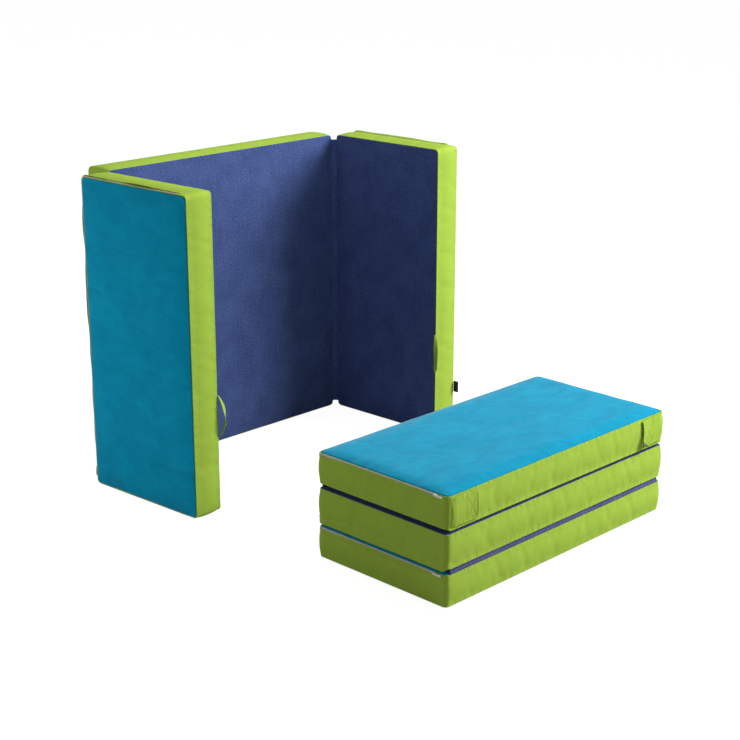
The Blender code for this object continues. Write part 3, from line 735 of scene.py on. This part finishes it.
SLATE = woven_cloth("cotton_twill_slate", "#3E4168", "#5A5D8C", 170.0, 0.3, 0.85, 0.05, 0.05)
WALL_STRIP, SEAT_STRIP = (0, 0, 1.18), (1.164, 0, 0)
hinge_strip("left_corner_strip", "left_corner_hinge", "left_hinge", (-0.59, -0.0625, 0.025),
            (-0.014084, -0.014972, 0), WALL_STRIP, (-0.0012, 0.0011, 0), 0.5, 301, TWILL)
hinge_strip("right_corner_strip", "right_corner_hinge", "right_hinge", (0.59, -0.0625, 0.025),
            (0.015523, -0.014991, 0), WALL_STRIP, (0.0011, 0.0012, 0), 0.5, 302, TWILL)
hinge_strip("seat_front_strip", "seat_front_hinge", "front_hinge", (-0.582, -1.8165, 0.122),
            (0, 0, 0.024), SEAT_STRIP, (0, 0.0075, 0), 0.7, 303, SLATE)
hinge_strip("seat_rear_strip", "seat_rear_hinge", "rear_hinge", (-0.582, -1.2165, 0.264),
            (0, 0, 0.016), SEAT_STRIP, (0, -0.003, 0), 0.5, 304, TWILL)

# Handles. A folded strap of the lime cloth on each side section, its ends gathered into the inner
# front seam, so that it stands out in a loop.

HANDLE_ROWS = 41
HANDLE_LENGTH = 0.163  # between its sewn ends
STRAP_RING = np.array([[1, 0.45], [0.8, 1], [0, 1], [-0.8, 1], [-1, 0.45], [-1, -0.45], [-0.8, -1],
                       [0, -1], [0.8, -1], [1, -0.45]])
STRAP_HALF_THICKNESS = 0.00115
STRAP_FOOT, STRAP_REACH = 0.0005, 0.0260  # how far it stands off at its ends, and what is added
STRAP_WIDTH, STRAP_WIDENS = 0.010, 0.012


def handle(side, section, front, low, twist_deg, lean_deg):
    """A flattened ring carried along an arch: the strap stands out by a sine of its height, widens
    to the middle by the same sine, leans to one side and twists a little on its way."""
    share = np.linspace(0, 1, HANDLE_ROWS)
    arch = np.sin(math.pi * share ** 0.93)
    height = low + HANDLE_LENGTH * share - section.middle[2]
    reach = STRAP_FOOT + STRAP_REACH * arch ** 0.8
    half = (STRAP_WIDTH + STRAP_WIDENS * arch) / 2
    path = np.stack([reach, height, 0 * reach], axis=-1)
    heading = np.gradient(path, axis=0)
    heading /= np.linalg.norm(heading, axis=1, keepdims=True)
    outward = np.stack([heading[:, 1], -heading[:, 0], 0 * reach], axis=-1)
    twist, lean = math.radians(twist_deg), math.radians(lean_deg)
    turn = (twist * np.sin(2 * math.pi * share) + lean * arch)[:, None]
    across = np.array([0, 0, 1.0]) * np.cos(turn) + outward * np.sin(turn)
    proud = outward * np.cos(turn) - np.array([0, 0, 1.0]) * np.sin(turn)
    points = (path[:, None] + STRAP_RING[None, :, :1] * half[:, None, None] * across[:, None]
              + STRAP_RING[None, :, 1:] * STRAP_HALF_THICKNESS * proud[:, None])
    out = np.array([front, 0, -1]) / math.sqrt(2)
    sideways = np.cross(out, [0, 1.0, 0])
    seam_at = np.array([front * section.half_u, 0, -section.half_t])
    local = (seam_at + points[..., :1] * out + points[..., 1:2] * [0, 1.0, 0]
             + points[..., 2:] * sideways)
    along, across = share[:, None] * 0.18, STRAP_RING[None, :, 0] * STRAP_WIDTH
    flat = np.stack(np.broadcast_arrays(along, across), axis=-1)
    seam = np.full(flat.shape[:2], 0.003)
    obj = new_piece(side + "_strap_handle", section.place(local),
                    tube_faces(HANDLE_ROWS, len(STRAP_RING)), LIME, flat, seam)
    smooth(obj)
    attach(obj, side + "_handle")
    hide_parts(side + "_handle")


handle("left", SECTIONS[1], 1, 0.297, 25, 0)
handle("right", SECTIONS[2], -1, 0.280, -12, -42)

# Flaps. Two tabs of the lime cloth on the front border of the top seat section, sewn in beside its
# corners, with hook tape sewn behind the free end and loop tape on the border under it.

FLAP_ROOT, FLAP_TIP = 0.588, 0.458  # along the front edge, from the seat's middle
FLAP_HALF, PATCH_HALF = 0.052, 0.045
PATCH_ROOT, PATCH_TIP = 0.524, 0.464
FLAP_LIFT, HOOK_LIFT, LOOP_LIFT = 0.0052, 0.0031, 0.0016
FLAP_SUNK = -0.0012  # its root, sewn in below the border's surface
FLAP_OFF = {-1: 0.0030, 1: 0.0042}  # how far the free edge of the left and the right one stands off
FLAP_EASE = 0.0005
FLAP_GRID = 0.0021
STITCH_PITCH, STITCH_SIZE = 0.0042, np.array([0.0030, 0.0008, 0.0006])
STITCH_DIP, STITCH_SPREAD = 0.0008, 0.0017  # how the thread draws the cloth down
BOX_IN = 0.004  # from a patch's edge to its stitching
ROLL_LINE, ROLL_RADIUS = 0.025, 0.0085  # how much of a corner is rolled, and how tightly
ROLL_SLANT = math.radians(42)

# Woven nylon tape with a dense nap of hooks or loops: off-white, matt and fuzzy.
HOOKS = grained("nylon_hook_and_loop", "#C6C6BE", "#EDEDE6", 700.0, 0.85, cells=True, bump=0.001)
# Spun polyester thread: a darker lime than the cloth, with a slight gloss.
THREAD = grained("polyester_thread_lime", "#5E8400", "#7FA50C", 1200.0, 0.5)
root, tip, half = PATCH_ROOT - BOX_IN, PATCH_TIP + BOX_IN, PATCH_HALF - BOX_IN
LOW_ROOT, TOP_ROOT, LOW_TIP, TOP_TIP = (root, -half), (root, half), (tip, -half), (tip, half)
STITCHED = np.array([  # from and to, along and up: a box, its diagonals and a line at the root
    LOW_ROOT + TOP_ROOT, LOW_TIP + TOP_TIP, TOP_ROOT + TOP_TIP, LOW_ROOT + LOW_TIP,
    LOW_ROOT + TOP_TIP, TOP_ROOT + LOW_TIP, (FLAP_ROOT - BOX_IN, -half, FLAP_ROOT - BOX_IN, half)])


def beside_stitches(along, height):
    """The distance to the nearest stitched line: the least of those to each one's nearest point."""
    least = np.full(np.shape(along), 1.0)
    for line in STITCHED:
        first, way = line[:2], line[2:] - line[:2]
        past, up = along - first[0], height - first[1]
        share = np.clip((past * way[0] + up * way[1]) / (way @ way), 0, 1)
        gap = np.hypot(past - share * way[0], up - share * way[1])
        least = np.minimum(least, gap)
    return least


def flap_lift(side, along, height):
    """How far the flap's outside stands off the border: little where it is sewn in, more by a
    square towards its free edge, and dipped in a bell along its stitching."""
    share = np.clip((FLAP_ROOT - along) / (FLAP_ROOT - FLAP_TIP), 0, 1)
    sewn = np.clip(share / 0.16, 0, 1) ** 0.7
    free = np.clip((share - 0.55) / 0.45, 0, 1)
    off = FLAP_OFF[side] * free ** 2 * (1 - 0.35 * (height / FLAP_HALF) ** 2)
    ease = FLAP_EASE * np.sin(55 * along + 28 * height) * np.sin(math.pi * share)
    return (FLAP_SUNK + (FLAP_LIFT - FLAP_SUNK) * sewn + off + ease
            - STITCH_DIP * bell(beside_stitches(along, height), STITCH_SPREAD))


def on_border(side, along, height, lift):
    """Points so far off the top seat section's front border, which bulges in a parabola."""
    section = SECTIONS[5]
    out = section.half_v + section.bulge * (1 - (height / section.half_t) ** 2) + lift
    return section.place(np.stack([side * along, -out, height], axis=-1))


def on_flap(side, along, height, below):
    """Points on a flap, or on a layer below its outside. The right one's lower free corner is
    rolled outwards: what lies past a slant line turns on a circle round an axis along that line."""
    base = flap_lift(side, along, height)
    lift = base - below
    slant = (math.cos(ROLL_SLANT), math.sin(ROLL_SLANT))
    past = ROLL_LINE - (along - FLAP_TIP) * slant[0] - (height + FLAP_HALF) * slant[1]
    turn = np.clip(past, 0, None) / ROLL_RADIUS if side > 0 else 0 * past
    radius = ROLL_RADIUS + below
    back = np.where(turn > 0, past - radius * np.sin(turn), 0)
    lift = np.where(turn > 0, base + ROLL_RADIUS - radius * np.cos(turn), lift)
    return on_border(side, along + back * slant[0], height + back * slant[1], lift)


def front_sheet(name, side, root, tip, half, shape, at, material, body, node, thickness):
    """A rectangle from its sewn to its free end, on the surface that shape gives for the lift or
    depth at."""
    columns, rows = round((root - tip) / FLAP_GRID) + 1, round(2 * half / FLAP_GRID) + 1
    along, height = np.meshgrid(np.linspace(root, tip, columns), np.linspace(-half, half, rows),
                                indexing="ij")
    edge = np.minimum(np.minimum(root - along, along - tip), half - np.abs(height))
    quads = grid_quads(*along.shape)
    obj = new_piece(name, shape(side, along, height, at), quads[:, ::-1] if side > 0 else quads,
                    material, np.stack([along, height], axis=-1), edge)
    thicken(obj, thickness)
    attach(obj, body)
    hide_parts(node)
    return obj


def stitches(side, word):
    """Short bars of thread laid end to end along each stitched line, on the flap's outside."""
    spots, ways = [], []
    for line in STITCHED:
        way = line[2:] - line[:2]
        length = np.hypot(*way)
        share = (np.arange(int(length / STITCH_PITCH)) + 0.5) * STITCH_PITCH / length
        spots.append(line[:2] + share[:, None] * way)
        ways.append(np.broadcast_to(way / length, (len(share), 2)))
    spots, ways = np.concatenate(spots), np.concatenate(ways)
    lengthwise = BOX_FOOT[:, 0] * STITCH_SIZE[0] * np.repeat([1.0, 0.8], 4)
    sideways = BOX_FOOT[:, 1] * STITCH_SIZE[1] * np.repeat([1.0, 0.5], 4)
    along = spots[:, :1] + ways[:, :1] * lengthwise - ways[:, 1:] * sideways
    height = spots[:, 1:] + ways[:, 1:] * lengthwise + ways[:, :1] * sideways
    below = np.broadcast_to(np.repeat([0.0003, -STITCH_SIZE[2]], 4), along.shape)
    faces = box_faces(len(spots))
    points = on_flap(side, along, height, below)
    obj = new_piece(word + "_flap_stitching", points, faces if side > 0 else faces[:, ::-1], THREAD)
    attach(obj, word + "_flap")


def flap(side, word):
    """The flap's cloth with its stitching, its hook tape and the loop tape on the border."""
    body = word + "_flap"
    front_sheet(body + "_cloth", side, FLAP_ROOT, FLAP_TIP, FLAP_HALF, on_flap, 0.0, LIME, body,
                body, 0.0018)
    front_sheet(body + "_hook_tape", side, PATCH_ROOT, PATCH_TIP, PATCH_HALF, on_flap,
                FLAP_LIFT - HOOK_LIFT, HOOKS, body, body + "_hook_patch", 0.0011)
    front_sheet(body + "_loop_tape", side, PATCH_ROOT, PATCH_TIP, PATCH_HALF, on_border, LOOP_LIFT,
                HOOKS, "seat_top", body + "_loop_patch", 0.0012)
    stitches(side, word)


flap(-1, "left")
flap(1, "right")

# Label tab. A folded loop of black satin ribbon caught in the outer front seam of the right side
# section. It is left bare.

# Woven polyester satin, black: fine threads along it that catch a soft gloss.
SATIN = grained("polyester_satin_black", "#131313", "#2A2A2C", 800.0, 0.45, bump=0.0003,
                specular=0.2)
TAB_LOW, TAB_HIGH, TAB_REACH, TAB_RADIUS = 0.164, 0.212, 0.0243, 0.0007


def label_tab():
    """A ribbon folded back on itself: two layers joined by a half circle at the free end."""
    section = SECTIONS[2]
    turn = np.linspace(-math.pi / 2, math.pi / 2, 7)
    flat_run = np.array([0, 0.008, 0.016])
    tip = TAB_REACH + TAB_RADIUS * np.cos(turn) - TAB_RADIUS
    reach = np.concatenate([flat_run, tip, flat_run[::-1]])
    layer = np.full(3, TAB_RADIUS)
    lift = np.concatenate([-layer, TAB_RADIUS * np.sin(turn), layer])
    rows = np.linspace(TAB_LOW, TAB_HIGH, 9) - section.middle[2]
    away, height = np.meshgrid(reach, rows, indexing="ij")
    droop = 0.0012 * np.sin(40 * away)
    depth = section.half_t - 0.0009 + lift[:, None] + droop
    points = np.stack([-(section.half_u + 0.0012 + away), height, depth], axis=-1)
    obj = new_piece("label_ribbon", section.place(points), grid_quads(*away.shape)[:, ::-1], SATIN)
    thicken(obj, 0.0004, 0)
    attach(obj, "right_side")
    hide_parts("label_tab")


label_tab()

# Studio. A pale floor without an edge, a broad lamp high in front and to the right, weak ones at
# the left and above, and a camera at the photograph's place.

FLOOR_HALF = 60.0
FLOOR_LOW = 0.0005


def seen_directly(tree):
    """1 for a ray from the camera, a mirror or a glass, and 0 for one that only carries light."""
    path = add(tree, "LightPath").outputs
    seen = path["Is Camera Ray"]
    for kind in ("Is Glossy Ray", "Is Transmission Ray"):
        seen = add(tree, "Math", {0: seen, 1: path[kind]}, operation="MAXIMUM").outputs[0]
    return seen


def plain_floor():
    """Matt white paint that keeps a soft shadow: what is seen of it directly is lifted to white."""
    made, tree = new_material("matt_white_floor")
    plain = add(tree, "BsdfDiffuse", {"Color": linear("#A6A6A6")})
    grey = add(tree, "BsdfDiffuse", {"Color": linear("#959595")})
    glow = add(tree, "Emission", {"Color": linear("#FFFFFF"), "Strength": 0.92})
    lifted = add(tree, "AddShader", {0: grey.outputs[0], 1: glow.outputs[0]})
    surface(tree, add(tree, "MixShader", {0: seen_directly(tree), 1: plain.outputs[0],
                                          2: lifted.outputs[0]}))
    return made


corners = np.array([[-1, -1, 0], [1, -1, 0], [1, 1, 0], [-1, 1, 0]]) * FLOOR_HALF
floor = new_piece("floor", corners - np.array([0, 0, FLOOR_LOW]), [[0, 1, 2, 3]], plain_floor())


def softbox(name, power, size, place, aim):
    """A rectangular lamp that looks from its place at a point."""
    lamp = bpy.data.lights.new(name, "AREA")
    lamp.shape = "RECTANGLE"
    lamp.energy = power
    lamp.size, lamp.size_y = size
    obj = new_object(name, lamp)
    x, y, z = np.array(place) - np.array(aim)
    obj.location = place
    obj.rotation_euler = (math.atan2(math.hypot(x, y), z), 0, math.atan2(y, x) + math.pi / 2)


softbox("front_lamp", 518.0, (2.8, 2.6), (3.9, -4.4, 3.5), (0.0, -0.9, 0.5))
softbox("left_lamp", 14.0, (1.4, 0.9), (-2.3, 0.5, 0.72), (-0.73, -0.5, 0.6))
softbox("top_lamp", 9.0, (1.4, 1.2), (0.0, -0.45, 2.4), (0.0, -0.45, 1.2))

world = bpy.data.worlds.new("pale_room")
bpy.context.scene.world = world
world.use_nodes = True
room = world.node_tree
room.nodes.clear()
dim = add(room, "Background", {"Color": linear("#FFFFFF"), "Strength": 0.25})
white = add(room, "Background", {"Color": linear("#FFFFFF"), "Strength": 1.0})
direct = add(room, "MixShader", {0: seen_directly(room), 1: dim.outputs[0], 2: white.outputs[0]})
add(room, "OutputWorld", {"Surface": direct.outputs[0]})

camera = new_object("camera", bpy.data.cameras.new("camera"))
camera.location = (-4.1639, -4.9762, 2.3323)
camera.rotation_euler = (math.radians(90 - 17.578), 0, math.radians(-45.447))
camera.data.sensor_width = 36.0
camera.data.lens = 77.73
bpy.context.scene.camera = camera
bpy.context.scene.view_settings.view_transform = "Standard"
